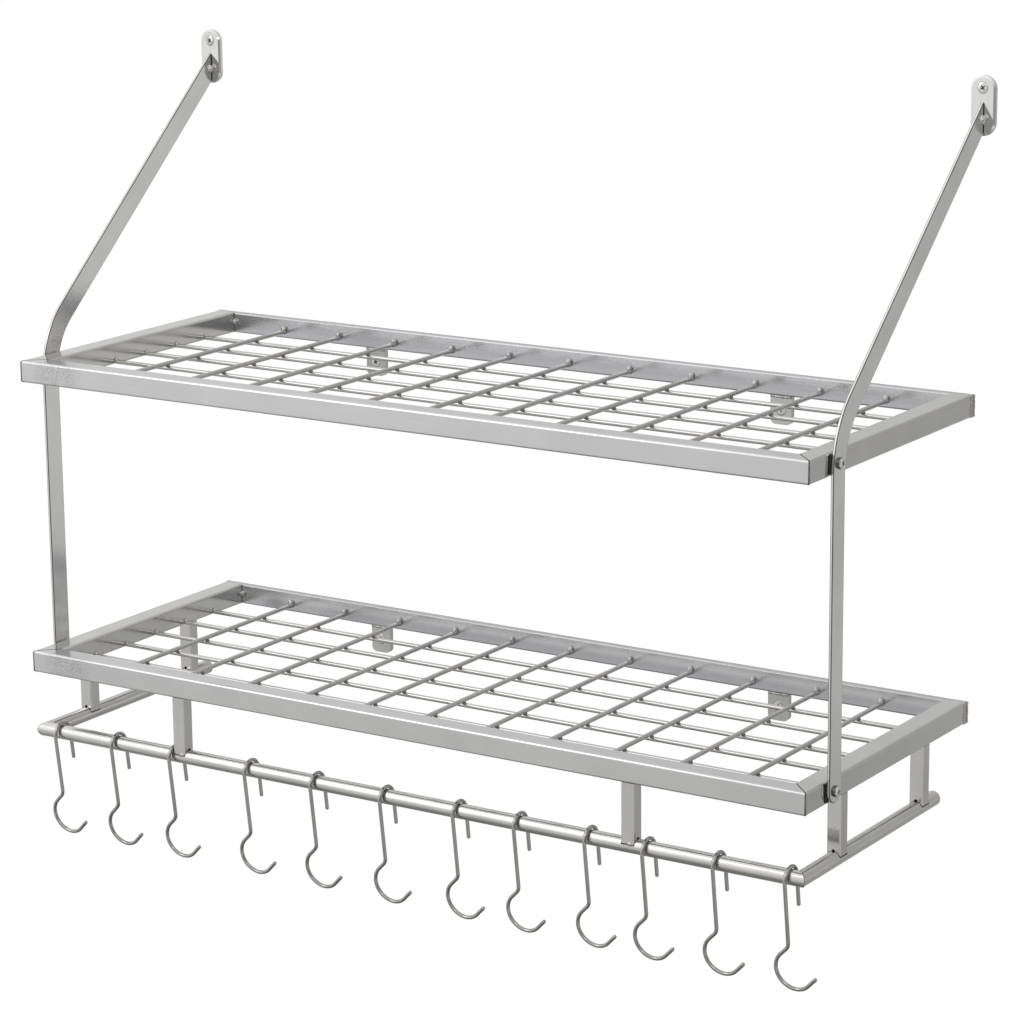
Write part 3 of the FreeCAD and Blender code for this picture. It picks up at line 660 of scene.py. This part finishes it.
def eased_bar(strap, finish):
    """The strap with its long edges eased a little, as bar stock comes."""
    bpy.ops.object.select_all(action="DESELECT")
    bar = bpy.data.objects.new(f"{strap}_bar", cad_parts[strap].data.copy())
    bar.data.transform(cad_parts[strap].matrix_world)
    scene.collection.objects.link(bar)
    bar.select_set(True)
    bpy.context.view_layer.objects.active = bar
    bar.data.materials.clear()
    bar.data.materials.append(finish)
    bar.data.materials.append(arris_shade_steel)
    bpy.ops.mesh.customdata_custom_splitnormals_clear()
    bpy.ops.object.mode_set(mode="EDIT")
    bpy.ops.mesh.select_all(action="SELECT")
    bpy.ops.mesh.remove_doubles(threshold=0.001 * MM)
    bpy.ops.mesh.dissolve_limited(angle_limit=math.radians(0.5))
    bpy.ops.mesh.faces_shade_smooth()
    bpy.ops.mesh.select_mode(type="EDGE")
    bpy.ops.mesh.select_all(action="DESELECT")
    mesh = bmesh.from_edit_mesh(bar.data)
    holes = [Vector((STRAP_Y, TOPS[shelf] - RAIL / 2)) for shelf in SHELVES]
    for edge in mesh.edges:
        tilts = sorted(abs(face.normal.x) for face in edge.link_faces)
        middle = (edge.verts[0].co + edge.verts[1].co).yz / 2
        at_hole = min((middle - hole).length for hole in holes) < STRAP_HOLE_REACH
        edge.select_set(len(tilts) == 2 and tilts[0] < 0.1 and tilts[1] > 0.9 and not at_hole)
    bmesh.update_edit_mesh(bar.data)
    # the eased edges take the painted shade of the arris
    bpy.ops.mesh.bevel(offset=STRAP_EASE, segments=4, clamp_overlap=False, material=1)
    bpy.ops.object.mode_set(mode="OBJECT")
    flats = bar.modifiers.new("flats", "WEIGHTED_NORMAL")
    flats.weight = 100
    bpy.ops.object.modifier_apply(modifier="flats")
    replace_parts(fitted(f"{strap}_bar"), strap)
    give(finish, strap)


# painted shade: a dark line down each corner of the bar
arris_shade_steel = steel("arris_painted_shade", ("#646463", "#787876"), (0.6, 0.6, 9), 0.3, 0.05)
# paler than the rails, smooth, with the marks following the bar round its bend
eased_bar("left_strap", strap_steel("satin_strap", ("#D3D2D1", "#DCDCDA")))
# from the same bar, a little paler
eased_bar("right_strap", strap_steel("paler_satin_strap", ("#DBDAD9", "#E4E4E2")))

# matt black with fine pores; the black also stands in for painted shade in the gap between strap and
# rail
rubber = bare("black_rubber")
tree = rubber.node_tree
place = add_node(tree, "ShaderNodeTexCoord", {}).outputs["Object"]
pores = noise(tree, place, 0.8 * MM, 2.0)
colour = blend(tree, pores, linear("#1E1E1E"), linear("#343433"))
surface(tree, colour, 0.72, pores, 0.3, 0.1 * MM, metallic=0.0)
give(rubber, "strap_pads")


# Wall plates: polished stainless, so bright that the straps are mirrored in them. A strap is held to
# its plate by a short thick weld on each face.
STRAP_END = 512.5 * MM
PLATE_BUD = (6.4 * MM, 6.6 * MM, 8.4 * MM)
strap_faces = [side * face for side in (-1, 1) for face in (STRAP_INNER, STRAP_OUTER)]
# almost white, with a clear mirror image
give(steel("polished_plate", ("#DCDCDB", "#E9E9E8"), (3, 3, 12), 0.08, 0.02),
     "left_wall_plate", "right_wall_plate")
repeated(bud(PLATE_BUD, 16, 12),
         [Matrix.Translation((x, PLATE_FACE - 2.6 * MM, STRAP_END - 1.5 * MM)) for x in strap_faces])
# a bright smooth blob with darker flanks
solid("plate_welds", weld_metal("bright_weld", ("#A6A4A1", "#E4E2DE")))
scattered(bead(23 * MM, 0.5 * MM), [(x, PLATE_FACE - 0.2 * MM, STRAP_END) for x in strap_faces])
# the root of the weld up the middle of the plate, drawn dark as painted shade where the strap meets the
# plate
solid("plate_weld_roots", seam_shade_metal)


# Strap screws: pan-headed stainless screws with a cross recess, two to a side, turned into nuts inside
# the rails. The head's top is bright, and its flank is painted dark as shade under the head.
PAN_RADIUS = 4.5 * MM
PAN_FLANK = 1.2 * MM
PAN_TOP = 3 * MM
PAN_DOME = 4 * MM
# a bright domed top, set off by the flank under it, which is painted dark as shade
pan_steel = steel("pan_head_steel", ("#CFCECC", "#E2E1DE"), (2, 2, 2), 0.1, 0.03)
bpy.ops.mesh.primitive_cylinder_add(vertices=40, radius=PAN_RADIUS, depth=PAN_FLANK,
                                    location=(0, 0, PAN_FLANK / 2))
head = settled()
stepped([(0.7 * MM, 0.94), (0.6 * MM, 0.84), (0.36 * MM, 0.7), (0.14 * MM, 0.5)])
tip = cross_punch(reach=2.6 * MM, blade=1.2 * MM, depth=1.5 * MM)
tip.data.transform(Matrix.Translation((0, 0, PAN_TOP)))
head = punched(head, pan_steel, tip)
# the flank of the head takes the painted shade of the arris
head.data.materials.append(arris_shade_steel)
for face in head.data.polygons:
    if abs(face.normal.z) < 0.5 and face.center.xy.length > PAN_DOME:
        face.material_index = 2
spots = [(side, TOPS[shelf] - RAIL / 2) for side in (-1, 1) for shelf in SHELVES]
repeated(head, [Matrix.Translation((side * STRAP_OUTER, STRAP_Y, height))
                @ Matrix.Rotation(QUARTER * side, 4, "Y") @ Matrix.Rotation(0.35 + number, 4, "Z")
                for number, (side, height) in enumerate(spots)])
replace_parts(fitted("strap_screw_heads"), "strap_screws")
give(pan_steel, "strap_nuts", "strap_screws")


# Hook rail: polished stainless tube in three lengths, mitred at the front corners, with a disc in each
# open end. A ground seam at each mitre is drawn dark as painted shade of the joint.
TUBE_X = 374 * MM
TUBE_Y = -277 * MM
TUBE_Z = -40.5 * MM
TUBE_SEAM_RADIUS = 6.42 * MM
TUBE_SEAM = 0.35 * MM
# a broad bright band along the tube between two darker ones
give(steel("polished_tube_front", ("#C4C3C1", "#D0CFCD"), (50, 0.5, 0.5), 0.2, 0.03), "hook_rail_front")
# the same polish, with its marks along the side tubes
give(steel("polished_tube_side", ("#C2C1BF", "#CECDCB"), (0.5, 50, 0.5), 0.2, 0.03),
     "hook_rail_left", "hook_rail_right", "hook_rail_discs")
seams = []
for side in (-1, 1):
    bpy.ops.mesh.primitive_cylinder_add(
        vertices=48, radius=TUBE_SEAM_RADIUS, depth=TUBE_SEAM, location=(side * TUBE_X, TUBE_Y, TUBE_Z),
        rotation=(QUARTER, 0, math.radians(-45 * side)), scale=(math.sqrt(2), 1, 1))
    settled()
    seams.append(rounded(SEAM_ROUND))
joined(seams)
solid("hook_rail_seams", seam_shade_metal)


# Posts: small square tubes of stainless steel that carry the hook rail under the lower shelf, ground
# upright. The front ones show a bead of weld at the foot.
POST_X = 223 * MM
NEAR_Y = -217.9 * MM
FAR_Y = -74.8 * MM
POST_BUD = (7.5 * MM, 3.4 * MM, 4.2 * MM)
SADDLE_RADIUS = 6.62 * MM
SADDLE_LENGTH = 16 * MM
FOOT = (12.2 * MM, 12.2 * MM, 10 * MM)
# smooth and bright enough to mirror the next post
give(steel("bright_post", ("#C7C6C5", "#D2D1D0"), (0.4, 0.4, 30), 0.12, 0.05),
     "front_left_post", "front_right_post",
     *[f"{side}_{spot}_post" for side in SIDES for spot in ("near", "far")])
repeated(bud(POST_BUD, 14, 9),
         [Matrix.Translation((side * POST_X + 2.4 * MM, FRONT + 1.6 * MM, TUBE_Z + 2.9 * MM))
          for side in (-1, 1)])
# pale, fresh weld
solid("post_welds", weld_metal("post_weld", ("#9A9895", "#D2D0CC")))
seams = []
for x, y in ([(side * POST_X, TUBE_Y) for side in (-1, 1)]
             + [(side * TUBE_X, y) for side in (-1, 1) for y in (NEAR_Y, FAR_Y)]):
    bpy.ops.mesh.primitive_cylinder_add(
        vertices=64, radius=SADDLE_RADIUS, depth=SADDLE_LENGTH, location=(x, y, TUBE_Z),
        rotation=(0, QUARTER, 0) if y == TUBE_Y else (QUARTER, 0, 0))
    drum = settled()
    bpy.ops.mesh.primitive_cube_add(size=1, location=(x, y, TUBE_Z + FOOT[2] / 2), scale=FOOT)
    foot = settled()
    saddle = foot.modifiers.new("saddle", "BOOLEAN")
    saddle.operation = "INTERSECT"
    saddle.solver = "EXACT"
    saddle.object = drum
    bpy.ops.object.modifier_apply(modifier="saddle")
    bpy.data.objects.remove(drum)
    seams.append(foot)
joined(seams)
# the dark line of painted shade where a post's cope sits on the tube
solid("post_seams", seam_shade_metal)


# Hooks: drawn stainless wire, bent cold and tumbled, so they are a little duller than the rail. They
# hang loose on it.
HOOKS = [f"hook_{number:02d}" for number in range(1, 13)]
# mid grey, with a soft highlight down the wire
give(steel("tumbled_hook_wire", ("#9E9D9B", "#B0AFAD"), (1.2, 1.2, 14), 0.11, 0.03), *HOOKS)


bpy.context.view_layer.update()
